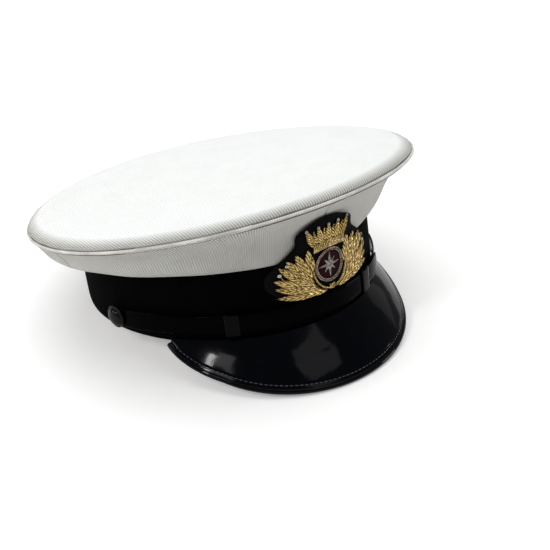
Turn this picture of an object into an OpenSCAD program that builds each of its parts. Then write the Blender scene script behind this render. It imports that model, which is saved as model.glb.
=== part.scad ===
// Peaked officer's cap: white crown on a wire, black band, glossy peak, chin strap and badge.
// Built about the centre of the head opening with the rim in a level plane and the front towards -Y,
// then laid in its resting pose, on the front edge of the peak and the back of the rim.

/* [Head opening] */
// Half the length of the band, front to back
head_half_l = 105; // [100:0.5:108]
// Half the width of the band, side to side
head_half_w = 92; // [89:0.5:94]
// Radius of the round ends of the head oval
end_r = 84; // [82:0.5:86]

/* [Band] */
// Height of the band's top edge over the rim
band_h = 47; // [44:0.5:50]
// Thickness of the mohair band
band_t = 1.6; // [1.2:0.1:2]
// Radius of the bound lower edge behind the peak
rim_r = 1.2; // [1:0.05:1.3]

/* [Crown] */
// Half the length of the crown at its piping
crown_half_l = 128.5; // [126:0.5:131]
// Half the width of the crown at its piping
crown_half_w = 128; // [125:0.5:130]
// How far the crown's middle lies in front of the band's middle
crown_forward = 5; // [4:0.5:7]
// Height of the crown's piping at its middle
crown_z = 71.4; // [70:0.2:73]
// Rise of the crown towards the front, in degrees
crown_pitch = 8; // [7.5:0.1:9]
// Drop of the piping at the two sides
crown_sag = 3.6; // [2.8:0.1:4.2]
// Height of the padded top over the piping
dome_h = 10; // [9.5:0.5:12]
// Radius of the piping cord
piping_r = 1.3; // [1:0.1:1.5]

/* [Peak] */
// Length of the peak from the band to its front edge
peak_l = 43; // [41:0.2:46]
// Slope of the peak below level, in degrees
peak_slope = 52; // [50:0.2:54]
// Angle round the front arc that the peak reaches to each side
peak_reach = 68; // [66:0.5:70]
// Radius of the rolled edge of the peak
peak_edge_r = 1.9; // [1.7:0.05:2.1]

/* [Strap] */
// Width of the chin strap
strap_w = 12.7; // [11:0.1:13]
// Height of the strap's middle over the rim
strap_z = 14; // [13.6:0.1:14.1]
// Angle of each side button from the front
button_angle = 85.5; // [82:0.5:88]
// Radius of the side buttons
button_r = 7.5; // [7:0.1:8]

/* [Badge] */
// Height of the middle of the badge over the rim
badge_z = 36; // [35:0.1:37]
// Forward lean of the badge's upper half, in degrees
badge_lean = 8; // [7.5:0.5:9]

/* [Hidden] */
$fn = 96;
// Gap between pieces that lie against each other
gap = 0.2;
// Head oval: the end arcs' centres lie on Y, the side arcs' centres on X
end_c = head_half_l - end_r;
side_over = head_half_w - end_r;
side_c = (end_c * end_c - side_over * side_over) / (2 * side_over);
side_r = head_half_w + side_c;
join_angle = asin(side_c / (side_r - end_r));
// Layers of the band, from its outer face inwards
stiffener_out = -band_t - 0.1;
stiffener_in = stiffener_out - 1.5;
sweatband_out = stiffener_in - 2.8;
sweatband_in = sweatband_out - 1.2;
band_bottom = 2 * rim_r + gap;
foot_z = 0.6;
foot_d = stiffener_in + 0.1;
rim_mid = -1.7;
// Peak: three layers round a middle surface that starts just below the band's outer corner
peak_top_z = band_bottom - 0.4;
peak_start = 0.4;
peak_power = 0.7;
core_half = 0.75;
shell_low = core_half + 0.1;
shell_t = 1.0;
lining_t = 0.8;
layer_inset = 2 * peak_edge_r + 0.4;
layer_reach = 0.955;
edge_reach = 0.97;
// Crown
dome_power = 5.5;
panel_t = 1.0;
// Height at which the side panels meet the band
panel_z = band_h + 0.8;
// Half the angle left open at each seam between quarters
seam = 0.12;
top_t = 1.2;
lining_gap = 0.5;
crown_lining_t = 0.5;
stay_d = -panel_t / 2 - lining_gap - crown_lining_t - 0.4;
wire_r = 1.5;
wire_inset = 6.4;
turn = 360;
around = 72;
outline_steps = 144;
// Strap layers, as distances out from the band's outer face
keeper_t = 0.8;
keeper_w = 9;
keeper_back = 0.35;
inner_strap_d = keeper_back + keeper_t + 0.35;
strap_t = 1.1;
outer_strap_d = inner_strap_d + strap_t + gap;
keeper_front = outer_strap_d + strap_t + 0.35;
keeper_clear = 0.35;
right_keeper_angle = -44;
left_keeper_angle = 22;
tab_r = 7.5;
// Side buttons
shank_r = 1.5;
shank_hole_r = 1.85;
washer_r = 4;
button_z = strap_z - 2.3;
button_d = outer_strap_d + strap_t + 0.4;
button_edge = 0.9;
button_rise = 3.4;
button_dome_r = (button_r * button_r + button_rise * button_rise) / (2 * button_rise);
shank_end = stiffener_in - 2.3;
washer_t = 0.6;
pin_d = stiffener_in - 1.5;
pin_r = 0.45;
pin_half_l = 4;
pin_eye_r = 1.1;
// Badge layers, as distances out from the band's outer face
pad_d = 0.5;
pad_t = 1.6;
backing_t = 0.5;
badge_bend_z = 40;
badge_top_z = 90;
thread_t = 1.6;
thread_d = pad_d + pad_t + backing_t + 0.15;
ring_r = 9.2;
ring_cord = 2.2;
ring_y = 2.8;
wreath_low = -14.2;
crest_low = 14.6;
crest_half = 12.5;
crest_room = 13.2;
gold = [0.85, 0.68, 0.25];
// Resting pose: the rolled edge of the peak and the back of the rim binding stand on one level
edge_y = head_half_l + (peak_l - peak_edge_r) * cos(peak_slope);
edge_z = peak_top_z - (peak_l - peak_edge_r) * sin(peak_slope);
rim_y = head_half_l + rim_mid;
span_y = edge_y + rim_y;
span_z = rim_r - edge_z;
tilt = atan2(span_z, span_y) + asin((peak_edge_r - rim_r) / norm([span_y, span_z]));
z_shift = rim_r + rim_y * sin(tilt) - rim_r * cos(tilt);
back_y = -crown_forward + crown_half_l * cos(crown_pitch) + piping_r;
back_z = crown_z - crown_half_l * sin(crown_pitch);
front_most = edge_z * sin(tilt) - edge_y * cos(tilt) - peak_edge_r;
back_most = back_y * cos(tilt) + back_z * sin(tilt);
y_shift = -(front_most + back_most) / 2;

// Outward direction at an angle from the front, positive towards the wearer's left
function out(a) = [sin(a), -cos(a), 0];

// Point of the head oval at a normal angle, moved out by d and up to height z
function oval(a, d, z) =
    let (to_front = abs(a) <= join_angle, to_back = abs(a) >= 180 - join_angle)
    (to_front || to_back)
        ? [0, to_front ? -end_c : end_c, z] + (end_r + d) * out(a)
        : [-sign(a) * side_c, 0, z] + (side_r + d) * out(a);

// Angles from a to b in n equal steps
function steps(a, b, n) = [for (i = [0:n]) a + (b - a) * i / n];

// Point of the crown at an angle: q runs from its middle (0) to its piping (1), h is height over it
function crown(a, q, h) = [
    crown_half_w * q * sin(a),
    -crown_forward - crown_half_l * q * cos(a) * cos(crown_pitch) + h * sin(crown_pitch),
    crown_z + crown_half_l * q * cos(a) * sin(crown_pitch) - crown_sag * pow(q * sin(a), 2)
        + h * cos(crown_pitch)
];

// Height of the padded top: steep at its edge and nearly flat over the middle
function dome(q) = dome_h * sqrt(max(0, 1 - pow(q, dome_power)));

// Middle surface of the side panels, as [outward distance, height] of a curve's four points.
// It bulges out over the band at the sides, less so at the low back, and stands up behind the badge
function panel_side(a) =
    let (low = oval(a, -0.8, panel_z), high = crown(a, 0.992, -1.5 - piping_r))
    let (reach = norm([high.x - low.x, high.y - low.y]), rise = high.z - low.z)
    let (front = (1 + cos(a)) / 2, upright = pow(front, 2.9), flare = pow(front, 2.7))
    let (back = pow(1 - front, 6))
    [[0, 0], [reach * (1.15 * (1 - upright) - 0.5 * back), 0.2 + 3 * upright - 0.5 * back],
        [reach - 13 - 20 * flare + 8 * back, rise - 15 + 6.5 * flare + 9.5 * back],
        [reach, rise]];
function curve(p, s) =
    pow(1 - s, 3) * p[0] + 3 * s * pow(1 - s, 2) * p[1] + 3 * s * s * (1 - s) * p[2]
        + pow(s, 3) * p[3];
function heading(p, s) =
    pow(1 - s, 2) * (p[1] - p[0]) + 2 * s * (1 - s) * (p[2] - p[1]) + s * s * (p[3] - p[2]);
// Point of a side panel at angle a, fraction s, moved out of its middle surface by d
function panel(a, s, d) =
    let (low = oval(a, -0.8, panel_z), high = crown(a, 0.992, 0))
    let (p = panel_side(a), along = heading(p, s), at = curve(p, s))
    let (e = [high.x - low.x, high.y - low.y, 0] / norm([high.x - low.x, high.y - low.y]))
    let (flat = at + d * [along[1], -along[0]] / norm(along))
    low + flat[0] * e + [0, 0, flat[1]];

// Depth of the peak at an angle round the head
function peak_depth(a) = peak_l * pow(max(0, 1 - pow(a / peak_reach, 2)), peak_power);
// Point of the peak at angle a, s along its slope and w out of its middle surface
function peak(a, s, w) = oval(a, 0, peak_top_z)
    + out(a) * (s * cos(peak_slope) + w * sin(peak_slope))
    + [0, 0, w * cos(peak_slope) - s * sin(peak_slope)];

// Closed solid through a list of loops with the same even number of points.
// ends is "flat" for open runs, "fan" for runs that close on points, "join" for rings
module skin(loops, ends = "flat") {
    n = len(loops[0]);
    m = len(loops);
    walls = [for (i = [0:(ends == "join" ? m - 1 : m - 2)]) for (j = [0:n - 1])
        let (k = (i + 1) % m, l = (j + 1) % n)
        for (face = [[i * n + j, i * n + l, k * n + l], [i * n + j, k * n + l, k * n + j]]) face];
    flat_ends = [for (j = [0:n / 2 - 2]) let (k = (m - 1) * n + j, l = m * n - 1 - j)
        for (face = [[j, n - 2 - j, j + 1], [j, n - 1 - j, n - 2 - j],
            [k, k + 1, l - 1], [k, l - 1, l]]) face];
    fan_ends = [for (j = [0:n - 1]) let (l = (j + 1) % n)
        for (face = [[m * n, l, j], [m * n + 1, (m - 1) * n + j, (m - 1) * n + l]]) face];
    poles = [middle(loops[0]), middle(loops[m - 1])];
    caps = ends == "flat" ? flat_ends : ends == "fan" ? fan_ends : [];
    every = [for (loop = loops) each loop];
    polyhedron(points = ends == "fan" ? concat(every, poles) : every,
        faces = concat(walls, caps), convexity = 6);
}
function total(list, i = 0) = i == len(list) - 1 ? list[i] : list[i] + total(list, i + 1);
function middle(loop) = total(loop) / len(loop);

// Loop of n points round centre c, across a path that heads along t
function hoop(c, t, r, n) =
    let (u = cross(t, [0, 0, 1]) / norm(cross(t, [0, 0, 1])), v = cross(u, t) / norm(t))
    [for (i = [0:n - 1]) c + r * (cos(turn * i / n) * u + sin(turn * i / n) * v)];

// Resting pose of everything drawn in the cap's own frame
module at_rest() translate([0, y_shift, z_shift]) rotate([-tilt, 0, 0]) children();

// Outline of the head oval moved out by d
module oval_2d(d) polygon([for (a = steps(-180, 180, outline_steps)) if (a < 180)
    let (p = oval(a, d, 0)) [p.x, p.y]]);
// Wall that follows the head oval between two distances out and two heights
module oval_wall(d_in, d_out, z_low, z_high)
    translate([0, 0, z_low]) linear_extrude(z_high - z_low) difference() {
        oval_2d(d_out);
        oval_2d(d_in);
    }
// The same wall as a true arc round the front, between two angles
module front_arc(a_low, a_high, d_in, d_out, z_low, z_high)
    translate([0, -end_c, 0]) rotate([0, 0, a_low - 90]) rotate_extrude(angle = a_high - a_low)
        translate([end_r + d_in, z_low]) square([d_out - d_in, z_high - z_low]);

// Everything near the band between two angles from the front
module sector(a_low, a_high)
    translate([0, 0, -10]) linear_extrude(2 * band_h) polygon(concat(
        [for (a = steps(a_low, a_high, 16)) let (p = oval(a, -20, 0)) [p.x, p.y]],
        [for (a = steps(a_high, a_low, 16)) let (p = oval(a, 30, 0)) [p.x, p.y]]));

// Puts a piece at a place on the band, with its own +X outwards and +Z up
module on_band(a, d, z) translate(oval(a, d, z)) rotate([0, 0, a - 90]) children();
// Rod that points outwards from the band
module rod(r, x_low, x_high)
    translate([x_low, 0, 0]) rotate([0, 90, 0]) cylinder(r = r, h = x_high - x_low);
// Holes through the band for both side buttons
module shank_holes() for (side = [-1, 1])
    on_band(side * button_angle, 0, button_z) rod(shank_hole_r, -12, 12);

// ---- Crown ----
module crown_top() color("white") at_rest() {
    shape = [0.16, 0.4, 0.62, 0.78, 0.88, 0.94, 0.975, 0.992, 1];
    upper = [for (q = shape) [for (a = steps(-180, 180, around)) if (a < 180)
        crown(a, q, dome(q) + (q == 1 ? piping_r + gap : 0.8))]];
    inner = (crown_half_w - top_t - 0.3) / crown_half_w;
    under = [for (i = [len(shape) - 1:-1:0]) let (q = shape[i]) [for (a = steps(-180, 180, around))
        if (a < 180) crown(a, q * inner, q == 1 ? piping_r + gap : dome(q) + 0.8 - top_t)]];
    skin(concat(upper, under), "fan");
}

module crown_lining_top() color("gainsboro") at_rest() {
    shape = [0.2, 0.5, 0.75, 0.88, 0.94];
    drop = top_t + lining_gap;
    upper = [for (q = shape) [for (a = steps(-180, 180, around / 2)) if (a < 180)
        crown(a, q, dome(q) + 0.4 - drop)]];
    under = [for (i = [len(shape) - 1:-1:0]) let (q = shape[i])
        [for (a = steps(-180, 180, around / 2)) if (a < 180)
            crown(a, q, dome(q) + 0.4 - drop - crown_lining_t)]];
    skin(concat(upper, under), "fan");
}

// Clear patch held under the lining of the top
module sweat_shield() color("lightblue", 0.5) at_rest() {
    shape = [0.15, 0.35, 0.5];
    drop = top_t + 2 * lining_gap + crown_lining_t;
    upper = [for (q = shape) [for (a = steps(-180, 180, around / 2)) if (a < 180)
        crown(a, q, dome(q) + 0.1 - drop)]];
    under = [for (i = [len(shape) - 1:-1:0]) let (q = shape[i])
        [for (a = steps(-180, 180, around / 2)) if (a < 180)
            crown(a, q, dome(q) + 0.1 - drop - 0.4)]];
    skin(concat(upper, under), "fan");
}

module crown_cord(q, h, r, n) at_rest()
    skin([for (a = steps(0, 360, around)) if (a < 360)
        hoop(crown(a, q, h), crown(a + 1, q, h) - crown(a - 1, q, h), r, n)], "join");
module crown_piping() color("whitesmoke") crown_cord(1, 0, piping_r, 8);
module grommet_ring() color("silver")
    crown_cord(1 - wire_inset / crown_half_w, wire_r, wire_r, 6);

// Side quarter between two angles, from the band up to the piping
module side_quarter(a_low, a_high, d_in, d_out, s_low, s_high, n)
    skin([for (a = steps(a_low, a_high, n)) concat(
        [for (s = steps(s_low, s_high, 10)) panel(a, s, d_out)],
        [for (s = steps(s_high, s_low, 10)) panel(a, s, d_in)])]);
module white_quarter(a_low, a_high) color("white") at_rest()
    side_quarter(a_low + seam, a_high - seam, -panel_t / 2, panel_t / 2, 0, 1, 18);
module side_panel_front_left() white_quarter(0, 90);
module side_panel_front_right() white_quarter(-90, 0);
module side_panel_back_left() white_quarter(90, 180);
module side_panel_back_right() white_quarter(-180, -90);
module crown_lining_side() color("gainsboro") at_rest() for (i = [0, 1])
    side_quarter(180 * (i - 1) + seam, 180 * i - seam, -panel_t / 2 - lining_gap - crown_lining_t,
        -panel_t / 2 - lining_gap, 0.1, 0.9, 36);

// Upright stay inside the front of the crown
module front_stay() color("dimgray") at_rest()
    side_quarter(-7, 7, stay_d - 1, stay_d, 0.12, 0.78, 4);

// ---- Band ----
module cap_band() color([0.06, 0.06, 0.07]) at_rest() difference() {
    oval_wall(-band_t, 0, band_bottom, band_h);
    shank_holes();
}
module band_stiffener() color("dimgray") at_rest() difference() {
    oval_wall(stiffener_in, stiffener_out, band_bottom, band_h - 1);
    shank_holes();
}
// Leather band with its sewn foot turned out under the stiffener
module sweatband() color("saddlebrown") at_rest() {
    oval_wall(sweatband_in, sweatband_out, foot_z, band_h - 3);
    oval_wall(sweatband_out, foot_d, foot_z, foot_z + 1.2);
}
// Small bow at the back, where the ends of the sweatband meet
module sweatband_bow() color("black") at_rest() on_band(180, sweatband_in - 1.2, 12)
    for (side = [-1, 1]) rotate([90, 0, 90]) linear_extrude(0.6)
        polygon([[side * 0.4, -0.8], [side * 8, -3.5], [side * 7, 0], [side * 8, 3.5],
            [side * 0.4, 0.8]]);

module rim_binding() color("black") at_rest()
    skin([for (a = steps(peak_reach + 3, 360 - peak_reach - 3, 56))
        let (b = a > 180 ? a - 360 : a)
        hoop(oval(b, rim_mid, rim_r), [cos(b), sin(b), 0], rim_r, 8)]);

// ---- Peak ----
module peak_layer(w_low, w_high)
    skin([for (k = steps(-layer_reach, layer_reach, 40))
        let (a = k * peak_reach, end = peak_depth(a) - layer_inset)
        concat([for (s = steps(peak_start, end, 3)) peak(a, s, w_high)],
            [for (s = steps(end, peak_start, 3)) peak(a, s, w_low)])], "fan");
module peak_shell() color("black") at_rest() peak_layer(shell_low, shell_low + shell_t);
module peak_core() color("tan") at_rest() peak_layer(-core_half, core_half);
module peak_lining() color("darkgreen") at_rest()
    peak_layer(-shell_low - lining_t, -shell_low);
module peak_binding() color("black") at_rest()
    skin([for (k = steps(-edge_reach, edge_reach, 64)) let (a = k * peak_reach)
        hoop(peak(a, peak_depth(a) - peak_edge_r, 0),
            peak(a + 0.5, peak_depth(a + 0.5) - peak_edge_r, 0)
                - peak(a - 0.5, peak_depth(a - 0.5) - peak_edge_r, 0),
            peak_edge_r, 10)]);

// ---- Chin strap ----
// Strap with square ends, lying on the band between two angles
module strap_bar(a_low, a_high) translate([0, 0, strap_z - strap_w / 2])
    intersection() {
        linear_extrude(strap_w) square(4 * head_half_l, center = true);
        sector(a_low, a_high);
    }
// Strap that runs from the side button on one side to an end past the front
module strap(side, a_end, d) difference() {
    intersection() {
        oval_wall(d, d + strap_t, strap_z - strap_w, strap_z + strap_w);
        union() {
            strap_bar(min(side * button_angle, a_end), max(side * button_angle, a_end));
            on_band(side * button_angle, 0, button_z) rod(tab_r, -5, 12);
        }
    }
    on_band(side * button_angle, 0, button_z) rod(shank_hole_r, -12, 12);
}
module chin_strap_outer() color("black") at_rest() strap(-1, left_keeper_angle + 14, outer_strap_d);
module chin_strap_inner() color("black") at_rest() strap(1, right_keeper_angle - 8, inner_strap_d);

// Loop round both straps
module keeper(a) at_rest() {
    half = keeper_w / 2 / end_r * 180 / PI;
    low = strap_z - strap_w / 2 - keeper_clear;
    high = strap_z + strap_w / 2 + keeper_clear;
    difference() {
        front_arc(a - half, a + half, keeper_back, keeper_front + keeper_t, low - keeper_t,
            high + keeper_t);
        front_arc(a - 2 * half, a + 2 * half, keeper_back + keeper_t, keeper_front, low, high);
    }
}
module strap_keeper_right() color("black") keeper(right_keeper_angle);
module strap_keeper_left() color("black") keeper(left_keeper_angle);

// ---- Side buttons ----
module side_button(side) color("black") at_rest()
    on_band(side * button_angle, 0, button_z) difference() {
        union() {
            translate([button_d, 0, 0]) rotate([0, 90, 0]) rotate_extrude() {
                square([button_r, button_edge]);
                intersection() {
                    translate([0, button_edge + button_rise - button_dome_r]) circle(button_dome_r);
                    translate([0, button_edge / 2]) square([button_r, button_edge + button_rise]);
                }
            }
            rod(shank_r, shank_end, button_d + button_edge);
        }
        translate([pin_d, 0, 0]) cylinder(r = pin_r + 0.05, h = 4 * shank_r, center = true);
    }
module washer(side) color("silver") at_rest() on_band(side * button_angle, 0, button_z)
    difference() {
        rod(washer_r, stiffener_in - gap - washer_t, stiffener_in - gap);
        rod(shank_r + 0.05, stiffener_in - gap - 2 * washer_t, stiffener_in);
    }
// Straight pin with a round eye, through the shank behind the washer
module split_pin(side) color("silver") at_rest() on_band(side * button_angle, pin_d, button_z) {
    translate([0, 0, -pin_half_l]) cylinder(r = pin_r, h = 2 * pin_half_l);
    translate([0, 0, pin_half_l + pin_eye_r]) rotate([0, 90, 0])
        rotate_extrude() translate([pin_eye_r, 0]) circle(pin_r);
}
module side_button_right() side_button(-1);
module side_button_left() side_button(1);
module washer_right() washer(-1);
module washer_left() washer(1);
module split_pin_right() split_pin(-1);
module split_pin_left() split_pin(1);

// ---- Badge ----
// Bent sheet that follows the front of the band and leans out over the white panel
module badge_sheet(d, t) {
    r = end_r + d;
    lean = (badge_top_z - badge_bend_z) * tan(badge_lean);
    translate([0, -end_c, 0]) rotate_extrude() polygon([[r, 10], [r + t, 10],
        [r + t, badge_bend_z], [r + t + lean, badge_top_z], [r + lean, badge_top_z],
        [r, badge_bend_z]]);
}
// Cuts an outline, drawn about the middle of the badge, out of such a sheet
module badge_piece(d, t) at_rest() intersection() {
    badge_sheet(d, t);
    translate([0, 0, badge_z]) rotate([90, 0, 0]) linear_extrude(2 * head_half_l) children();
}
// Half of the pad's outline, from its top middle down to its point
half_pad = [[0, 35], [9, 34], [23, 28], [22, 21], [31, 14], [41, 5], [41, -4], [31, -13],
    [0, -14.3]];
module badge_pad() color("black") badge_piece(pad_d, pad_t)
    polygon(concat(half_pad, [for (i = [len(half_pad) - 2:-1:1]) [-half_pad[i].x, half_pad[i].y]]));
module badge_backing() color("dimgray") badge_piece(pad_d + pad_t + 0.05, backing_t)
    translate([0, ring_y]) circle(15);

// Leaf with two pointed ends, along +X
module leaf(l, w) {
    r = (l * l / 4 + w * w / 4) / w;
    intersection_for (s = [-1, 1]) translate([l / 2, s * (r - w / 2)]) circle(r, $fn = 48);
}
// Leaves of one spray, as [root x, root y, heading, length, width]: a long row outside a short one
spray_leaves = [[9, -13, 4, 28, 5], [11, -11, 13, 27.5, 6], [12.5, -9, 22, 27.5, 6.6],
    [14, -6.5, 35, 26, 6.6], [15, -3, 46, 22, 6.2], [15, 0, 59, 18.5, 6], [14.2, 3, 80, 14.5, 5.2],
    [4, -13.2, 5, 19, 4.4], [8, -11.8, 18, 19.5, 5], [12.5, -6.5, 47, 17, 5.2],
    [13, 0.5, 86, 11.5, 4.2]];
slit = 0.25;
// Spray of overlapping leaves; slits between them that are too narrow to stay open are filled
module wreath(side) color(gold) badge_piece(thread_d, thread_t)
    offset(delta = -slit) offset(delta = slit + 0.05) difference() {
        intersection() {
            mirror([side < 0 ? 1 : 0, 0]) for (l = spray_leaves)
                translate([l[0], l[1]]) rotate(l[2]) leaf(l[3], l[4]);
            translate([side < 0 ? -80.3 : 0.3, wreath_low]) square(80);
        }
        translate([0, ring_y]) circle(ring_r + ring_cord + 0.4);
        translate([-crest_room, crest_low - 0.4]) square(2 * crest_room);
    }
module badge_wreath_right() wreath(-1);
module badge_wreath_left() wreath(1);
module badge_ground_velvet() color("darkred") badge_piece(thread_d, 0.8)
    translate([0, ring_y]) circle(ring_r - gap);
module badge_ring() color(gold) badge_piece(thread_d, thread_t + 0.4)
    translate([0, ring_y]) difference() {
        circle(ring_r + ring_cord);
        circle(ring_r);
    }
// Plain eight-pointed compass star
module badge_emblem() color("silver") badge_piece(thread_d + 0.9, 1) translate([0, ring_y])
    polygon([for (i = [0:15])
        (i % 2 == 1 ? 2 : i % 4 == 0 ? 8 : 5) * [sin(i * 22.5), cos(i * 22.5)]]);
// Plain fan of rays over a bar
module badge_crest() color(gold) badge_piece(thread_d, thread_t) {
    translate([-crest_half, crest_low]) square([2 * crest_half, 4]);
    for (a = [-40:20:40]) translate([a * 0.24, crest_low + 2]) rotate(90 - a * 0.6) leaf(16, 5.4);
}

crown_top();
side_panel_front_left();
side_panel_front_right();
side_panel_back_left();
side_panel_back_right();
crown_piping();
grommet_ring();
crown_lining_top();
crown_lining_side();
sweat_shield();
front_stay();
cap_band();
band_stiffener();
rim_binding();
sweatband();
sweatband_bow();
peak_shell();
peak_core();
peak_lining();
peak_binding();
chin_strap_outer();
chin_strap_inner();
strap_keeper_right();
strap_keeper_left();
side_button_right();
side_button_left();
washer_right();
washer_left();
split_pin_right();
split_pin_left();
badge_pad();
badge_backing();
badge_wreath_right();
badge_wreath_left();
badge_ground_velvet();
badge_ring();
badge_emblem();
badge_crest();
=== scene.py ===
"""Peaked officer's cap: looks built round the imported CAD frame.

Shapes are worked out in the cap's own frame, in millimetres: origin at the centre of the head
opening in the rim plane, +Z up and the front towards -Y. to_row() lays them in the resting pose.
Angles round the head count from the front, positive towards the wearer's left (+X).
"""
import math

import bmesh
import bpy
import numpy as np
from mathutils import Matrix, Vector


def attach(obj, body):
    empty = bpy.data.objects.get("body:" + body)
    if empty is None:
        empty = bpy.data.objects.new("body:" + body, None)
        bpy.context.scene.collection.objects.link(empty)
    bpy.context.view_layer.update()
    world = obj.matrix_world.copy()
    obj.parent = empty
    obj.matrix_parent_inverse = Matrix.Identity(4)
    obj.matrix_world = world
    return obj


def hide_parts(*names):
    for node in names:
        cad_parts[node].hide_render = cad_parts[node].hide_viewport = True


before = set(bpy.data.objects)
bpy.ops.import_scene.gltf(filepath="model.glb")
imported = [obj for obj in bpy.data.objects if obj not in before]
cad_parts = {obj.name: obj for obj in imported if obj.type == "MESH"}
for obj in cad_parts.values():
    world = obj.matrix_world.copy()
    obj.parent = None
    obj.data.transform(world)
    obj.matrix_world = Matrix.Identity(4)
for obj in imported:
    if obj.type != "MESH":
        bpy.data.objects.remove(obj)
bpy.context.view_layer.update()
rng = np.random.default_rng(7)
MM = 0.001

# ---- Driving dimensions, the same as in the CAD model, in mm and degrees ----
HEAD_L, HEAD_W, END_R = 105.0, 92.0, 84.0
BAND_H, BAND_T, BAND_LOW = 47.0, 1.6, 2.6
RIM_R, RIM_MID = 1.2, -1.7
CROWN_L, CROWN_W, CROWN_FWD, CROWN_Z = 128.5, 128.0, 5.0, 71.4
CROWN_PITCH, CROWN_SAG, DOME_H, PIPING_R = math.radians(8), 3.6, 10.0, 1.3
DOME_POWER, PANEL_Z, PANEL_Q = 5.5, BAND_H + 0.8, 0.992
PEAK_L, PEAK_SLOPE, PEAK_REACH, PEAK_EDGE_R = 43.0, math.radians(52), 68.0, 1.9
PEAK_TOP, PEAK_POWER = BAND_LOW - 0.4, 0.7
STRAP_W, STRAP_Z, STRAP_T = 12.7, 14.0, 1.1
STRAP_INNER, STRAP_OUTER = 1.5, 2.8
KEEPER_RIGHT, KEEPER_LEFT, KEEPER_W = -44.0, 22.0, 9.0
BUTTON_ANGLE, BUTTON_R, BUTTON_Z, BUTTON_D = 85.5, 7.5, 11.7, 4.3
BADGE_Z, BADGE_BEND, BADGE_LEAN, PAD_D, PAD_T = 36.0, 40.0, math.radians(8), 0.5, 1.6
PAD_HALF = [(0, 35), (9, 34), (23, 28), (22, 21), (31, 14), (41, 5), (41, -4), (31, -13),
            (0, -14.3)]
SWEAT_OUT, SWEAT_IN, FOOT_OUT = -6.0, -7.2, -3.2
# Radius of the piping that shows between the two cloths, finer than its solid
CORD_R = 1.0

END_C = HEAD_L - END_R
SIDE_OVER = HEAD_W - END_R
SIDE_C = (END_C**2 - SIDE_OVER**2) / (2 * SIDE_OVER)
SIDE_R = HEAD_W + SIDE_C
JOIN = math.degrees(math.asin(SIDE_C / (SIDE_R - END_R)))

# Resting pose: the peak's rolled edge and the back of the rim stand on one level
edge_y = HEAD_L + (PEAK_L - PEAK_EDGE_R) * math.cos(PEAK_SLOPE)
edge_z = PEAK_TOP - (PEAK_L - PEAK_EDGE_R) * math.sin(PEAK_SLOPE)
rim_y = HEAD_L + RIM_MID
span_y, span_z = edge_y + rim_y, RIM_R - edge_z
TILT = math.atan2(span_z, span_y) + math.asin((PEAK_EDGE_R - RIM_R) / math.hypot(span_y, span_z))
Z_SHIFT = RIM_R + rim_y * math.sin(TILT) - RIM_R * math.cos(TILT)
back_y = CROWN_L * math.cos(CROWN_PITCH) - CROWN_FWD + PIPING_R
back_z = CROWN_Z - CROWN_L * math.sin(CROWN_PITCH)
front_most = edge_z * math.sin(TILT) - edge_y * math.cos(TILT) - PEAK_EDGE_R
Y_SHIFT = -(front_most + back_y * math.cos(TILT) + back_z * math.sin(TILT)) / 2
TO_ROW = np.array([[1, 0, 0], [0, math.cos(TILT), math.sin(TILT)],
                   [0, -math.sin(TILT), math.cos(TILT)]])


def to_row(points):
    """Points in the cap's frame, in mm, to the row frame, in metres."""
    return (np.asarray(points, float) @ TO_ROW.T + [0, Y_SHIFT, Z_SHIFT]) * MM


def out(a):
    """Level direction away from the head at angle a."""
    a = math.radians(a)
    return np.array([math.sin(a), -math.cos(a), 0.0])


def oval(a, d, z):
    """Point of the head oval at a normal angle, moved out by d, at height z."""
    if abs(a) <= JOIN or abs(a) >= 180 - JOIN:
        return np.array([0, -END_C if abs(a) <= JOIN else END_C, z]) + (END_R + d) * out(a)
    return np.array([-math.copysign(SIDE_C, a), 0, z]) + (SIDE_R + d) * out(a)


def wrap(a):
    """The same angle between -180 and 180."""
    return (a + 180) % 360 - 180


def crown(a, q, h):
    """Point of the crown: q runs from its middle (0) to its piping (1), h is height over it."""
    s, c = math.sin(math.radians(a)), math.cos(math.radians(a))
    cp, sp = math.cos(CROWN_PITCH), math.sin(CROWN_PITCH)
    return np.array([CROWN_W * q * s, -CROWN_FWD - CROWN_L * q * c * cp + h * sp,
                     CROWN_Z + CROWN_L * q * c * sp - CROWN_SAG * (q * s)**2 + h * cp])


def dome(q):
    """Height of the padded top over the crown's surface."""
    return DOME_H * math.sqrt(max(0.0, 1 - q**DOME_POWER))


def panel(a, s, d):
    """Point of the white side panels at fraction s of their rise, moved out by d."""
    low, high = oval(a, -0.8, PANEL_Z), crown(a, PANEL_Q, 0)
    flat = np.array([high[0] - low[0], high[1] - low[1], 0])
    reach, front = np.linalg.norm(flat), (1 + math.cos(math.radians(a))) / 2
    high = crown(a, PANEL_Q, -1.5 - PIPING_R)
    over, rise = np.linalg.norm((high - low)[:2]), high[2] - low[2]
    upright, flare, back = front**2.9, front**2.7, (1 - front)**6
    p = np.array([[0, 0], [over * (1.15 * (1 - upright) - 0.5 * back),
                           0.2 + 3 * upright - 0.5 * back],
                  [over - 13 - 20 * flare + 8 * back, rise - 15 + 6.5 * flare + 9.5 * back],
                  [over, rise]])
    at = ((1 - s)**3 * p[0] + 3 * s * (1 - s)**2 * p[1] + 3 * s * s * (1 - s) * p[2] + s**3 * p[3])
    go = ((1 - s)**2 * (p[1] - p[0]) + 2 * s * (1 - s) * (p[2] - p[1]) + s * s * (p[3] - p[2]))
    at = at + d * np.array([go[1], -go[0]]) / np.linalg.norm(go)
    return low + at[0] * flat / reach + [0, 0, at[1]]


def peak_depth(a):
    """Length of the peak down its slope at angle a."""
    return PEAK_L * max(0.0, 1 - (a / PEAK_REACH)**2)**PEAK_POWER


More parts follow.
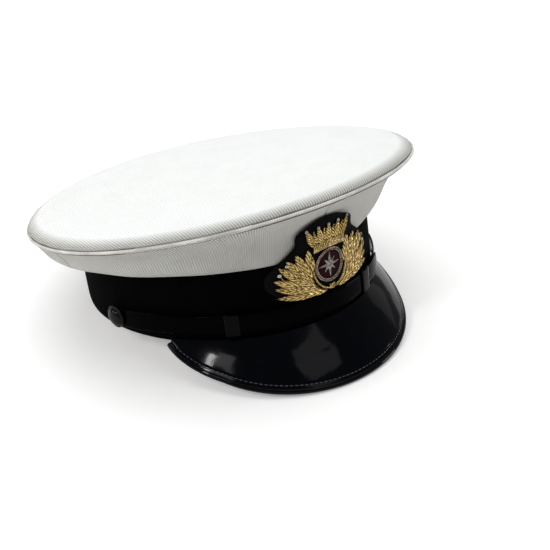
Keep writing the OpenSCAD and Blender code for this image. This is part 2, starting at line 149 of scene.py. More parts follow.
def peak(a, s, w):
    """Point of the peak at angle a, s down its slope and w out of its middle surface."""
    return (oval(a, 0, PEAK_TOP)
            + out(a) * (s * math.cos(PEAK_SLOPE) + w * math.sin(PEAK_SLOPE))
            + np.array([0, 0, w * math.cos(PEAK_SLOPE) - s * math.sin(PEAK_SLOPE)]))


def behind_pad(point, under):
    """Presses a point of the white cloth back behind the badge's pad; under is its depth in it."""
    x, y = point[0], point[2] - BADGE_Z
    outline = np.array(PAD_HALF[::-1], float)
    beside = abs(x) - np.interp(y, outline[:, 1], outline[:, 0]) + max(0.0, y - outline[-1, 1])
    hold = min(1.0, max(0.0, 1 - beside / 4))
    r = math.hypot(x, point[1] + END_C)
    limit = END_R + PAD_D - 0.35 - under + max(0.0, point[2] - BADGE_BEND) * math.tan(BADGE_LEAN)
    if point[1] > 0 or r <= limit:
        return point
    r_new = r - hold * hold * (3 - 2 * hold) * (r - limit)
    return np.array([x * r_new / r, (point[1] + END_C) * r_new / r - END_C, point[2]])


def badge(x, y, d):
    """Point of the badge's bent sheet at x and y about its oval's middle, d out of the band."""
    z = BADGE_Z + y
    r = END_R + d + max(0.0, z - BADGE_BEND) * math.tan(BADGE_LEAN)
    return np.array([x, -END_C - math.sqrt(r * r - x * x), z])


# ---- Mesh helpers ----
def new_piece(name, verts, faces, material, body="cap", uvs=None, smooth=True):
    """Mesh object from points in the cap's frame; uvs is one (u, v) per vertex, in mm."""
    mesh = bpy.data.meshes.new(name)
    mesh.from_pydata(to_row(verts).tolist(), [], faces)
    mesh.materials.append(material)
    if uvs is not None:
        layer = mesh.uv_layers.new(name="cloth")
        loop_verts = np.empty(len(mesh.loops), int)
        mesh.loops.foreach_get("vertex_index", loop_verts)
        layer.data.foreach_set("uv", (np.asarray(uvs, float)[loop_verts] * 0.01).ravel())
    mesh.update()
    mesh.validate()
    if smooth:
        mesh.shade_smooth()
    piece = bpy.data.objects.new(name, mesh)
    bpy.context.scene.collection.objects.link(piece)
    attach(piece, body)
    return piece


def grid_faces(rows, cols, close_rows=False):
    """Quads of rows closed rings of cols vertices each, numbered ring by ring."""
    faces = []
    for i in range(rows if close_rows else rows - 1):
        for j in range(cols):
            k, m = (i + 1) % rows, (j + 1) % cols
            faces.append((i * cols + j, i * cols + m, k * cols + m, k * cols + j))
    return faces


def ring_faces(rows, cols):
    """Faces of a stack of rings, with one face across each end."""
    last = (rows - 1) * cols
    ends = [tuple(range(cols)), tuple(last + j for j in range(cols))]
    return grid_faces(rows, cols) + ends


def shell_grid(outer, inner, close_rows=False):
    """Closed shell between two equal grids of points: verts and faces."""
    rows, cols = len(outer), len(outer[0])
    loops = [list(o) + list(i)[::-1] for o, i in zip(outer, inner)]
    verts = [p for loop in loops for p in loop]
    faces = grid_faces(rows, 2 * cols, close_rows)
    if not close_rows:
        last = (rows - 1) * 2 * cols
        for j in range(cols - 1):
            a, b, c, d = j, j + 1, 2 * cols - 2 - j, 2 * cols - 1 - j
            faces.append((d, c, b, a))
            faces.append((last + a, last + b, last + c, last + d))
    return verts, faces


def outward(piece):
    """Turns every face outwards."""
    bm = bmesh.new()
    bm.from_mesh(piece.data)
    bmesh.ops.recalc_face_normals(bm, faces=bm.faces)
    bm.to_mesh(piece.data)
    bm.free()
    return piece


def shell_piece(name, outer, inner, uvs, material, body="cap", close_rows=False):
    """Shell between two equal grids of points; uvs is a row of (u, v) per row, or None."""
    verts, faces = shell_grid(outer, inner, close_rows)
    if uvs:
        uvs = [uv for row in uvs for uv in row + row[::-1]]
    return outward(new_piece(name, verts, faces, material, body, uvs))


def tube(path, radius, sides, closed=False):
    """Verts, faces and uvs of a round tube along points; radius is a number or one per point."""
    path = np.asarray(path, float)
    n = len(path)
    radii = np.full(n, radius) if np.isscalar(radius) else np.asarray(radius)
    go = (np.roll(path, -1, 0) - np.roll(path, 1, 0)) if closed else np.gradient(path, axis=0)
    go /= np.linalg.norm(go, axis=1)[:, None]
    side = np.cross(go, [0, 0, 1.0])
    weak = np.linalg.norm(side, axis=1) < 1e-3
    side[weak] = np.cross(go[weak], [0, 1.0, 0])
    side /= np.linalg.norm(side, axis=1)[:, None]
    up = np.cross(side, go)
    turn = np.linspace(0, 2 * math.pi, sides, endpoint=False)
    circle = (np.cos(turn)[None, :, None] * side[:, None]
              + np.sin(turn)[None, :, None] * up[:, None])
    verts = (path[:, None] + radii[:, None, None] * circle).reshape(-1, 3)
    faces = grid_faces(n, sides, True) if closed else ring_faces(n, sides)
    run = np.concatenate([[0], np.cumsum(np.linalg.norm(np.diff(path, axis=0), axis=1))])
    uvs = [(run[i], radii[i] * turn[j]) for i in range(n) for j in range(sides)]
    return verts.tolist(), faces, uvs


class Build:
    """Collects several meshes into one piece."""

    def __init__(self):
        self.verts, self.faces, self.uvs = [], [], []

    def add(self, verts, faces, uvs=None):
        first = len(self.verts)
        self.verts += [tuple(v) for v in verts]
        self.faces += [tuple(first + i for i in f) for f in faces]
        self.uvs += list(uvs) if uvs is not None else [(v[0], v[2]) for v in verts]

    def piece(self, name, material, body="cap", smooth=True):
        return outward(new_piece(name, self.verts, self.faces, material, body, self.uvs, smooth))


# ---- Camera, lights and floor ----
VIEW_TARGET = Vector((0.01332, -0.03135, 0.02471))
VIEW_AZ, VIEW_EL, VIEW_ROLL = math.radians(-39.82), math.radians(30.37), math.radians(-1.58)
VIEW_DISTANCE, LENS = 0.8205, 80.3


def direction(az, el):
    """Direction from the object towards a viewer or a light."""
    return Vector((math.sin(az) * math.cos(el), -math.cos(az) * math.cos(el), math.sin(el)))


def make_camera():
    """Long lens from the wearer's right and above, slightly rolled."""
    data = bpy.data.cameras.new("camera")
    data.lens, data.sensor_width = LENS, 36.0
    data.clip_start, data.clip_end = 0.01, 100
    cam = bpy.data.objects.new("camera", data)
    bpy.context.scene.collection.objects.link(cam)
    back = direction(VIEW_AZ, VIEW_EL)
    cam.location = VIEW_TARGET + back * VIEW_DISTANCE
    cam.rotation_mode = "QUATERNION"
    turn = Matrix.Rotation(VIEW_ROLL, 3, back).to_quaternion()
    cam.rotation_quaternion = turn @ (-back).to_track_quat("-Z", "Y")
    bpy.context.scene.camera = cam


def area_light(name, az, el, distance, size, power):
    """Rectangular soft light that looks at the cap; size is (width, height) in metres."""
    data = bpy.data.lights.new(name, "AREA")
    data.shape, data.size, data.size_y = "RECTANGLE", size[0], size[1]
    data.energy = power
    light = bpy.data.objects.new(name, data)
    bpy.context.scene.collection.objects.link(light)
    away = direction(math.radians(az), math.radians(el))
    light.location = Vector((0, 0, 0.06)) + away * distance
    light.rotation_mode = "QUATERNION"
    light.rotation_quaternion = (-away).to_track_quat("-Z", "Y")


def make_stage():
    """Pale floor, white surroundings and soft studio lights."""
    bpy.context.scene.view_settings.view_transform = "Standard"
    bpy.context.scene.view_settings.look = "None"
    world = bpy.data.worlds.new("studio")
    bpy.context.scene.world = world
    world.use_nodes = True
    world.node_tree.nodes["Background"].inputs["Color"].default_value = (1, 1, 1, 1)
    world.node_tree.nodes["Background"].inputs["Strength"].default_value = 0.24
    mesh = bpy.data.meshes.new("floor")
    half = 6.0
    mesh.from_pydata([(-half, -half, 0), (half, -half, 0), (half, half, 0), (-half, half, 0)],
                     [], [(0, 1, 2, 3)])
    white = start_material("floor_white", (0.93, 0.93, 0.93), 0.65, Specular_IOR_Level=0.1,
                           Emission_Color=(1.0, 1.0, 1.0), Emission_Strength=0.24)[0]
    mesh.materials.append(white)
    floor = bpy.data.objects.new("floor", mesh)
    bpy.context.scene.collection.objects.link(floor)
    area_light("top_softbox", 138, 76, 1.7, (2.1, 2.1), 23.5)
    area_light("left_window", -81.5, 39, 1.44, (0.06, 0.34), 4.2)
    area_light("left_glow", -72, 43, 1.44, (0.26, 0.36), 1.4)
    area_light("back_window", -120, 16, 1.5, (0.7, 0.4), 5)
    area_light("front_panel", 14, 46, 1.54, (0.62, 0.36), 1.0)
    area_light("right_window", 126, 16, 1.5, (0.9, 0.5), 3)
    area_light("right_panel", 87, 11, 1.4, (0.4, 0.3), 0.16)
    area_light("right_low", 57, 3, 1.5, (0.4, 0.3), 5.5)


# ---- Materials ----
def start_material(name, colour, roughness, **sockets):
    """Principled material; sockets are further inputs by name with _ for spaces."""
    mat = bpy.data.materials.new(name)
    mat.use_nodes = True
    shader = mat.node_tree.nodes["Principled BSDF"]
    shader.inputs["Base Color"].default_value = (*colour, 1)
    shader.inputs["Roughness"].default_value = roughness
    for key, value in sockets.items():
        socket = shader.inputs[key.replace("_", " ")]
        socket.default_value = (*value, 1) if isinstance(value, tuple) else value
    return mat, mat.node_tree, shader


def link(tree, a, b):
    tree.links.new(a, b)


def feed(tree, shader, **outputs):
    """Links node outputs to the shader's inputs, named with _ for spaces."""
    for key, output in outputs.items():
        link(tree, output, shader.inputs[key.replace("_", " ")])


def coordinates(tree, use_uv, turn=0.0):
    """Coordinates in mm: along the cloth from its UVs, or in space from the object's own."""
    texture = tree.nodes.new("ShaderNodeTexCoord")
    mapping = tree.nodes.new("ShaderNodeMapping")
    scale = 100.0 if use_uv else 1000.0
    mapping.inputs["Scale"].default_value = (scale, scale, scale)
    mapping.inputs["Rotation"].default_value = (0, 0, math.radians(turn))
    link(tree, texture.outputs["UV" if use_uv else "Object"], mapping.inputs["Vector"])
    return mapping.outputs["Vector"]


def ribs(tree, where, pitch, wobble):
    """Parallel ribs across X of the coordinates, one every pitch mm; 0 to 1."""
    wave = tree.nodes.new("ShaderNodeTexWave")
    wave.wave_type, wave.bands_direction, wave.wave_profile = "BANDS", "X", "SIN"
    wave.inputs["Scale"].default_value = 2 * math.pi / 20 / pitch
    wave.inputs["Distortion"].default_value = wobble
    wave.inputs["Detail"].default_value = 1.5
    wave.inputs["Detail Scale"].default_value = 0.4
    link(tree, where, wave.inputs["Vector"])
    return wave.outputs["Fac"]


def noise(tree, where, size, detail=3.0, roughness=0.55):
    """Noise whose blotches are about size mm; 0 to 1."""
    texture = tree.nodes.new("ShaderNodeTexNoise")
    texture.inputs["Scale"].default_value = 1 / size
    texture.inputs["Detail"].default_value = detail
    texture.inputs["Roughness"].default_value = roughness
    link(tree, where, texture.inputs["Vector"])
    return texture.outputs["Fac"]


def ramp(tree, value, low, high, at_low=0.0, at_high=1.0):
    """Value to colour, from low at at_low to high at at_high."""
    node = tree.nodes.new("ShaderNodeValToRGB")
    node.color_ramp.elements[0].position, node.color_ramp.elements[1].position = at_low, at_high
    node.color_ramp.elements[0].color = (*low, 1)
    node.color_ramp.elements[1].color = (*high, 1)
    link(tree, value, node.inputs["Fac"])
    return node.outputs["Color"]


def blend(tree, a, b, factor, mode="MULTIPLY"):
    node = tree.nodes.new("ShaderNodeMix")
    node.data_type, node.blend_type = "RGBA", mode
    if isinstance(factor, float):
        node.inputs[0].default_value = factor
    else:
        link(tree, factor, node.inputs[0])
    link(tree, a, node.inputs[6])
    link(tree, b, node.inputs[7])
    return node.outputs[2]


def remap(tree, value, low, high, from_low=0.0, from_high=1.0):
    node = tree.nodes.new("ShaderNodeMapRange")
    node.inputs["From Min"].default_value = from_low
    node.inputs["From Max"].default_value = from_high
    node.inputs["To Min"].default_value, node.inputs["To Max"].default_value = low, high
    link(tree, value, node.inputs["Value"])
    return node.outputs["Result"]


def bump(tree, height, depth, strength=1.0, under=None):
    """Bump of a height from 0 to 1 over depth mm."""
    node = tree.nodes.new("ShaderNodeBump")
    node.inputs["Strength"].default_value = strength
    node.inputs["Distance"].default_value = depth * MM
    link(tree, height, node.inputs["Height"])
    if under is not None:
        link(tree, under, node.inputs["Normal"])
    return node.outputs["Normal"]


def white_twill(name, turn, pitch, hollow, raised, soiled, rim, wear_and_shade):
    """Cotton with raised diagonal ribs, painted shade in their hollows, and a fine cross thread.

    rim is a pair of distances, in mm, between which the cloth turns to its painted rim tone,
    painted shade
    on the top and a slight painted lift on the sides, with painted shade deeper in the rib hollows
    there:
    from the middle of the UVs when they are positive, or below the top edge when they are
    negative.
    """
    mat, tree, shader = start_material(name, raised, 0.78, Sheen_Weight=0.1,
                                       Specular_IOR_Level=0.2)
    along, across = coordinates(tree, True, turn), coordinates(tree, True, turn + 90)
    rib, thread = ribs(tree, along, pitch, 0.5), ribs(tree, across, 0.55, 0.8)
    soil = noise(tree, coordinates(tree, True), 26)
    # Painted shade: the rib hollows take the darker hollow colour, and the cross threads darken
    # slightly between them
    shade = blend(tree, ramp(tree, rib, hollow, raised, 0.05, 0.6),
                  ramp(tree, soil, soiled, (1, 1, 1), 0.35, 0.6), 1.0)
    shade = blend(tree, shade, ramp(tree, thread, (0.97, 0.97, 0.965), (1, 1, 1)), 1.0)
    if rim[0] > 0:
        far = tree.nodes.new("ShaderNodeVectorMath")
        far.operation = "LENGTH"
        link(tree, coordinates(tree, True), far.inputs[0])
        distance = far.outputs["Value"]
    else:
        parts = tree.nodes.new("ShaderNodeSeparateXYZ")
        link(tree, coordinates(tree, True), parts.inputs[0])
        distance = parts.outputs["Y"]
    near_rim = remap(tree, distance, 0.0, 1.0, *rim)
    # Painted shade at the rim: the colour shifts to the rim tone passed in, and the rib hollows
    # there darken further
    shade = blend(tree, shade, ramp(tree, near_rim, (1, 1, 1), wear_and_shade), 1.0)
    hollows = ramp(tree, rib, (0.62, 0.615, 0.6), (1.06, 1.06, 1.05), 0.1, 0.7)
    shade = blend(tree, shade, blend(tree, shade, hollows, 1.0), near_rim, "MIX")
    first = bump(tree, thread, 0.05, 0.7)
    feed(tree, shader, Base_Color=shade, Normal=bump(tree, rib, 0.34, 0.9, first))
    return mat


def ribbed_cloth(name, colour, light, turn, pitch, depth, roughness=0.7, sheen=0.2, gloss=0.3):
    """Plain-coloured ribbed cloth with fuzz, with painted shade in its rib hollows."""
    mat, tree, shader = start_material(name, colour, roughness, Sheen_Weight=sheen,
                                       Sheen_Roughness=0.4, Specular_IOR_Level=gloss)
    rib = ribs(tree, coordinates(tree, True, turn), pitch, 0.9)
    fuzz = noise(tree, coordinates(tree, False), 0.7, 4)
    wear_and_shade = noise(tree, coordinates(tree, False), 18)
    # Painted shade: the rib hollows keep the darker colour and the crests lift to the light one
    shade = blend(tree, ramp(tree, rib, colour, light, 0.1, 0.8),
                  ramp(tree, wear_and_shade, (0.7, 0.7, 0.7), (1.2, 1.2, 1.2), 0.3, 0.7), 1.0)
    first = bump(tree, fuzz, 0.12, 0.6)
    feed(tree, shader, Base_Color=shade, Normal=bump(tree, rib, depth, 0.9, first),
         Roughness=remap(tree, fuzz, roughness - 0.1, roughness + 0.12))
    return mat


def patent(name, colour=(0.0002, 0.0004, 0.0012), wave=0.22, scuff=0.05, depth=1.19, soft=0.06):
    """Black patent leather: a deep coat with slow waves, fine grain and light rubbing."""
    mat, tree, shader = start_material(name, colour, 0.12, Coat_Weight=1.0, Coat_Roughness=soft,
                                       Coat_IOR=depth, Specular_IOR_Level=0.0)
    where = coordinates(tree, False)
    slow, rub = noise(tree, where, 14, 1.5), noise(tree, where, 7, 5)
    grain = bump(tree, noise(tree, where, 1.1, 3), 0.02, 0.35)
    ripple = bump(tree, noise(tree, where, 2.6, 2), 0.035, 0.5)
    feed(tree, shader, Roughness=remap(tree, rub, 0.08, 0.08 + 4 * scuff),
         Base_Color=ramp(tree, rub, colour, tuple(3 * c for c in colour), 0.45, 0.8),
         Normal=bump(tree, slow, wave, 0.8, grain),
         Coat_Normal=bump(tree, slow, wave, 0.6, ripple))
    return mat


def bullion(name, dark, light, metallic=0.85, roughness=0.3):
    """Coiled wire embroidery: strands side by side, each a fine coil, with painted shade between
    the strands and in the coils' turns, and a fine speckle of painted glints and shade.
    """
    mat, tree, shader = start_material(name, light, roughness, Metallic=metallic)
    where = coordinates(tree, True)
    strands = ribs(tree, where, 1.25, 0.5)
    coils = ribs(tree, coordinates(tree, True, 68), 0.45, 0.3)
    patch = noise(tree, coordinates(tree, False), 1.3, 3)
    # Painted shade and glints: dark between strands, darker in the coil turns, and a fine random
    # speckle that lifts and dims the colour as glints and shade would
    shade = blend(tree, ramp(tree, strands, dark, light, 0.15, 0.62),
                  ramp(tree, patch, (0.42, 0.38, 0.32), (1.2, 1.18, 1.12), 0.36, 0.62), 1.0)
    shade = blend(tree, shade, ramp(tree, coils, (0.72, 0.68, 0.62), (1, 1, 1)), 1.0)
    first = bump(tree, coils, 0.08, 0.8)
    feed(tree, shader, Base_Color=shade, Normal=bump(tree, strands, 0.22, 0.9, first),
         Roughness=remap(tree, patch, roughness + 0.12, roughness - 0.1))
    return mat


def grained(name, colour, light, roughness, size=1.2, depth=0.12, **sockets):
    """Leather, board, felt or plastic with an even grain of its own."""
    mat, tree, shader = start_material(name, colour, roughness, **sockets)
    where = coordinates(tree, False)
    grain, patch = noise(tree, where, size, 5, 0.65), noise(tree, where, 15 * size, 3)
    shade = blend(tree, ramp(tree, grain, colour, light, 0.3, 0.75),
                  ramp(tree, patch, (0.82, 0.82, 0.82), (1.1, 1.1, 1.1), 0.35, 0.7), 1.0)
    feed(tree, shader, Base_Color=shade, Normal=bump(tree, grain, depth, 0.7),
         Roughness=remap(tree, patch, roughness - 0.08, roughness + 0.08))
    return mat


# ---- White crown ----
def crown_top(mat):
    """Twill disc stretched over the wire, steep and padded at its edge."""
    around, lift, thick = 360, CORD_R + 0.05, 0.9
    q_rows = [0.02 + 0.86 * i / 26 for i in range(26)]
    q_rows += [1 - 0.12 * (1 - i / 44)**2.2 for i in range(45)]
    angles = [360 * j / around for j in range(around)]
    waves = rng.uniform(0, 360, 6)
    verts, uvs = [], []
    for side in (0, 1):
        rows = q_rows if side == 0 else q_rows[::-1]
        for q in rows:
            for a in angles:
                rim = q**6
                slow = 0.5 * math.sin(math.radians(2 * a + waves[0])) * q * (1 - q) * 4
                pucker = sum(size * math.sin(math.radians(n * a + waves[k]))
                             for k, n, size in ((1, 23, 0.12), (2, 41, 0.10), (3, 9, 0.15)))
                h = lift + (dome(q) + slow * 0.8) * (1 - lift / DOME_H)
                tuck = 0.8 * math.exp(-((h - lift) / 0.8)**2)
                inset = 1 - (thick / CROWN_W if side else 0)
                point = crown(a, q * inset, h - (thick if side and q < 0.999 else 0))
                verts.append(point + out(a) * (pucker * rim - tuck))
                run = CROWN_W * q + DOME_H - dome(q)
                uvs.append((run * math.sin(math.radians(a)), -run * math.cos(math.radians(a))))
    faces = ring_faces(2 * len(q_rows), around)
    piece = outward(new_piece("crown_top_cloth", verts, faces, mat, "cap", uvs))
    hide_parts("crown_top")


def side_panel(name, node, a_low, a_high, mat):
    """White quarter: sags over the band at the back, stands up steeply at the front."""
    cols, rows, thick, tuck = 64, 90, 0.9, 0.45
    angles = np.linspace(a_low - 0.01, a_high + 0.01, rows)
    phase = rng.uniform(0, 6.28, 4)
    outer, inner, uvs = [], [], []
    for a in angles:
        ends = min(a - a_low, a_high - a)
        seam = -tuck * math.exp(-ends / 0.5)
        line_out, line_in, line_uv = [], [], []
        run, last = 0.0, None
        for s in np.linspace(0, 1, cols):
            fold = (0.35 * math.sin(math.radians(a) * 7 + phase[0] + 3 * s)
                    + 0.25 * math.sin(math.radians(a) * 15 + phase[1] - 4 * s)
                    + 0.45 * math.sin(math.radians(a) * 3.0 + phase[2] + 6 * s))
            fold *= 1 - math.exp(-ends / 6)
            d = 0.5 + seam + fold * math.sin(math.pi * s)**1.5
            # Just under the cord the cloth thins out, turns in and rises to meet it
            near_top = max(0.0, (s - 0.9) / 0.1)
            under = thick * (1 - 0.85 * near_top)
            d, to_cord = d - 0.6 * near_top, np.array([0, 0, 0.7 * near_top**2])
            point = behind_pad(panel(a, s, d), 0) + to_cord
            if last is not None:
                run += np.linalg.norm(point - last)
            last = point
            line_out.append(point)
            line_in.append(behind_pad(panel(a, s, d - under), under) + to_cord)
            line_uv.append((math.radians(a) * 120, run))
        outer.append(line_out)
        inner.append(line_in)
        uvs.append([(x, y - run) for x, y in line_uv])
    piece = shell_piece(name, outer, inner, uvs, mat)
    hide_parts(node)


def piping(mat):
    """White cord in the top seam, with the lap of its ends at the back."""
    lap = 172.0
    path = [crown(a, 1, 0) for a in np.linspace(lap, lap + 360, 721)[:-1]]
    radii = [CORD_R * (1 + 0.22 * math.exp(-(min(i, 720 - i) / 5.0)**2)) for i in range(720)]
    verts, faces, uvs = tube(path, radii, 14, closed=True)
    piece = outward(new_piece("crown_piping_cord", verts, faces, mat, "cap", uvs))
    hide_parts("crown_piping")


# ---- Black band ----
def band(mat):
    """Ribbed mohair band, which reaches lower where the peak covers its edge."""
    rows, cols = 360, 26
    outer, inner, uvs = [], [], []
    for i in range(rows):
        a = wrap(360 * i / rows - 180)
        low = BAND_LOW - 1.6 * min(1.0, max(0.0, (PEAK_REACH - abs(a)) / 4))
        line = [(z, 0.35 * math.sin(math.pi * k / (cols - 1))**0.6 - 0.25)
                for k, z in enumerate(np.linspace(low, BAND_H, cols))]
        outer.append([oval(a, d, z) for z, d in line])
        inner.append([oval(a, -BAND_T, z) for z, _ in line])
        uvs.append([(math.radians(a) * 98, z) for z, _ in line])
    piece = shell_piece("mohair_band", outer, inner, uvs, mat, close_rows=True)
    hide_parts("cap_band")


def rim_binding(mat):
    """Bound lower edge of the band, from one end of the peak round the back to the other."""
    angles = np.linspace(PEAK_REACH - 9, 360 - PEAK_REACH + 9, 320)
    path = [oval(wrap(a), RIM_MID, RIM_R) for a in angles]
    verts, faces, uvs = tube(path, RIM_R, 14)
    piece = outward(new_piece("rim_binding_leather", verts, faces, mat, "cap", uvs))
    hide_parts("rim_binding")


# ---- Peak ----
def peak_dent(a, s):
    """Slow hollows of a used peak, in mm."""
    return (-0.5 * math.exp(-((a + 12) / 9)**2 - ((s - 22) / 7)**2)
            - 0.35 * math.exp(-((a - 16) / 8)**2 - ((s - 16) / 6)**2)
            + 0.25 * math.exp(-((a - 2) / 12)**2 - ((s - 30) / 8)**2))


def peak_skin(mat):
    """Patent upper skin, swollen over its board and drawn in at the stitches."""
    rows, cols, reach = 200, 40, 0.962
    outer, inner, uvs = [], [], []
    for k in np.linspace(-reach, reach, rows):
        a = k * PEAK_REACH
        end = peak_depth(a) - PEAK_EDGE_R - 0.6
        line_out, line_in, line_uv = [], [], []
        for t in np.linspace(0, 1, cols):
            s = 0.2 + (end - 0.2) * t
            swell = 0.9 * math.sin(math.pi * min(1, t))
            gather = 0.10 * math.exp(-((peak_depth(a) - 5.2 - s) / 0.7)**2)
            w = 1.85 + swell * min(1, end / 30) + peak_dent(a, s) - gather * 2
            line_out.append(peak(a, s, w))
            line_in.append(peak(a, s, 0.9))
            line_uv.append((math.radians(a) * 100, s))
        outer.append(line_out)
        inner.append(line_in)
        uvs.append(line_uv)
    piece = shell_piece("peak_patent_skin", outer, inner, uvs, mat)
    piece.data.set_sharp_from_angle(angle=math.radians(50))
    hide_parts("peak_shell")


def peak_edge(mat):
    """Rolled edge round the peak."""
    angles = np.linspace(-0.972, 0.972, 361) * PEAK_REACH
    path = [peak(a, peak_depth(a) - PEAK_EDGE_R, 0.25) for a in angles]
    verts, faces, uvs = tube(path, PEAK_EDGE_R, 20)
    piece = outward(new_piece("peak_rolled_edge", verts, faces, mat, "cap", uvs))
    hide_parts("peak_binding")


def stitches(name, points, normals, mat):
    """Run of sewn stitches along a line: each a short bent capsule."""
    length, pitch, radius = 2.3, 3.1, 0.27
    points, normals = np.asarray(points), np.asarray(normals)
    run = np.concatenate([[0], np.cumsum(np.linalg.norm(np.diff(points, axis=0), axis=1))])
    made = Build()
    for start in np.arange(0, run[-1] - length, pitch):
        at = start + np.linspace(0, length, 7)
        line = np.stack([np.interp(at, run, points[:, i]) for i in range(3)], 1)
        up = np.stack([np.interp(at, run, normals[:, i]) for i in range(3)], 1)
        arch = np.sin(np.linspace(0, math.pi, 7))
        line = line + up * (arch * 0.32 - 0.16)[:, None]
        made.add(*tube(line, radius * (0.45 + 0.55 * arch), 6))
    return made.piece(name, mat)


def peak_stitching(mat):
    angles = np.linspace(-0.93, 0.93, 241) * PEAK_REACH
    up = np.array([0, 0, math.cos(PEAK_SLOPE)])
    line = [peak(a, peak_depth(a) - 5.2, 2.05) for a in angles]
    normals = [out(a) * math.sin(PEAK_SLOPE) + up for a in angles]
    stitches("peak_stitches", line, normals, mat)


# ---- Chin strap ----
def strap_line(side, a_end):
    """Angles, half widths and middle heights along a strap, from its round end past the button."""
    arc = SIDE_R * math.pi / 180
    tab, half = 7.5, STRAP_W / 2
    start = side * (BUTTON_ANGLE + tab / arc * 0.999)
    angles, halves, mids = [], [], []
    for t in np.linspace(0, 1, 240)**1.15:
        a = start + (a_end - start) * t
        away = (a - side * BUTTON_ANGLE) * -side * arc
        round_tab = math.sqrt(max(0.05, tab**2 - away**2)) if abs(away) < tab else 0
        width = round_tab if away < 0 else max(half, round_tab)
        to_end = abs(a - a_end) * END_R * math.pi / 180
        if to_end < half:
            width = math.sqrt(max(0.05, half**2 - (half - to_end)**2))
        ease = min(1, max(0, away) / 45)
        angles.append(a)
        halves.append(width)
        mids.append(BUTTON_Z + (STRAP_Z - BUTTON_Z) * ease * ease * (3 - 2 * ease))
    return angles, halves, mids


def strap(name, node, side, a_end, d, mat):
    """Patent strap with a tooled line along each edge."""
    across = np.array([0, 0.4, 0.7, 0.77, 0.8, 0.83, 0.9, 0.97, 1])
    face = np.array([1.1, 1.06, 1.0, 1.0, 0.72, 1.0, 0.98, 0.72, 0]) * 0.55
    across = np.concatenate([-across[:0:-1], across])
    face = np.concatenate([face[:0:-1], face])
    outer, inner, uvs = [], [], []
    for a, half, z in zip(*strap_line(side, a_end)):
        mid = d + STRAP_T / 2
        outer.append([oval(a, mid + f, z + half * x) for x, f in zip(across, face)])
        inner.append([oval(a, mid - 0.5 * min(1, f / 0.5), z + half * x)
                      for x, f in zip(across, face)])
        uvs.append([(math.radians(a) * 95, half * x) for x in across])
    piece = shell_piece(name, outer, inner, uvs, mat, "chin_strap")
    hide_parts(node)


def keeper(name, node, body, middle, mat):
    """Patent loop round both halves of the strap, a little wider than them."""
    half = math.degrees(KEEPER_W / 2 / (END_R + 4))
    low, high = STRAP_Z - STRAP_W / 2 - 1.15, STRAP_Z + STRAP_W / 2 + 1.15
    near, far, corner = 0.35, 5.05, 1.0
    section = []
    for cx, cz, start in ((far - corner, high - corner, 0), (near + corner, high - corner, 90),
                          (near + corner, low + corner, 180), (far - corner, low + corner, 270)):
        for turn in np.linspace(start, start + 90, 7):
            r = math.radians(turn)
            section.append((cx + corner * math.cos(r), cz + corner * math.sin(r),
                            math.cos(r), math.sin(r)))
    outer, inner, along = [], [], np.linspace(-1, 1, 15)
    swell = 0.22 * (1 - along**4) - 0.2
    for d, z, nd, nz in section:
        outer.append([oval(middle + half * x, d + nd * e, z + nz * e)
                      for x, e in zip(along, swell)])
        inner.append([oval(middle + half * x, d - 0.8 * nd, z - 0.8 * nz) for x in along])
    piece = shell_piece(name, outer, inner, None, mat, body, close_rows=True)
    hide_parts(node)


def lathe(profile, a, z):
    """Verts and faces of a round piece about a line straight out of the band at angle a."""
    base, axis, segments = oval(a, 0, z), out(a), 64
    side, up = np.array([-axis[1], axis[0], 0]), np.array([0, 0, 1.0])
    verts = [base + axis * x + r * (side * math.cos(t) + up * math.sin(t))
             for x, r in profile for t in np.linspace(0, 2 * math.pi, segments, endpoint=False)]
    return verts, ring_faces(len(profile), segments)


def side_button(name, node, body, side, mat):
    """Glossy domed button with a raised rim, on its shank."""
    d, r = BUTTON_D, BUTTON_R
    profile = [(-5.5, 0.3), (-5.5, 1.35), (-5.3, 1.5), (d + 0.1, 1.5), (d + 0.1, r - 0.7),
               (d + 0.25, r - 0.2), (d + 0.6, r), (d + 1.0, r - 0.05), (d + 1.35, r - 0.3),
               (d + 1.5, r - 0.7), (d + 1.45, r - 1.05), (d + 1.3, r - 1.3), (d + 1.4, r - 1.6)]
    rise, inner = 2.7, r - 1.6
    for t in np.linspace(0, 1, 14)[1:]:
        profile.append((d + 1.4 + rise * math.sin(t * math.pi / 2),
                        max(0.05, inner * math.cos(t * math.pi / 2))))
    piece = Build()
    piece.add(*lathe(profile, side * BUTTON_ANGLE, BUTTON_Z))
    made = piece.piece(name, mat, body)
    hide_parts(node)


# ---- Badge ----
THREAD_D = PAD_D + PAD_T + 0.25
RING_R, RING_Y = 9.2, 2.8
# Leaves of a spray, as (root x, root y, heading, length, width, lift)
SPRAY = [(9, -13, 4, 28, 5, 0.1), (11, -11, 13, 27.5, 6, 0), (12.5, -9, 22, 27.5, 6.6, 0.15),
         (14, -6.5, 35, 26, 6.6, 0), (15, -3, 46, 22, 6.2, 0.15), (15, 0, 59, 18.5, 6, 0),
         (14.2, 3, 80, 14.5, 5.2, 0.15),
         (4, -13.2, 5, 19, 4.4, 0.75), (8, -11.8, 18, 19.5, 5, 0.6),
         (10.5, -9.6, 32, 19.5, 5.2, 0.75), (12.5, -6.5, 47, 17, 5.2, 0.6),
         (13.3, -3, 64, 14, 4.8, 0.75), (13, 0.5, 86, 11.5, 4.2, 0.6)]


def resample(points, count):
    """Closed outline with evenly spaced points."""
    points = np.asarray(list(points) + [points[0]], float)
    run = np.concatenate([[0], np.cumsum(np.linalg.norm(np.diff(points, axis=0), axis=1))])
    at = np.linspace(0, run[-1], count, endpoint=False)
    return np.stack([np.interp(at, run, points[:, i]) for i in range(2)], 1)


def smoothed(outline, passes):
    for _ in range(passes):
        outline = (np.roll(outline, 1, 0) + 2 * outline + np.roll(outline, -1, 0)) / 4
    return outline


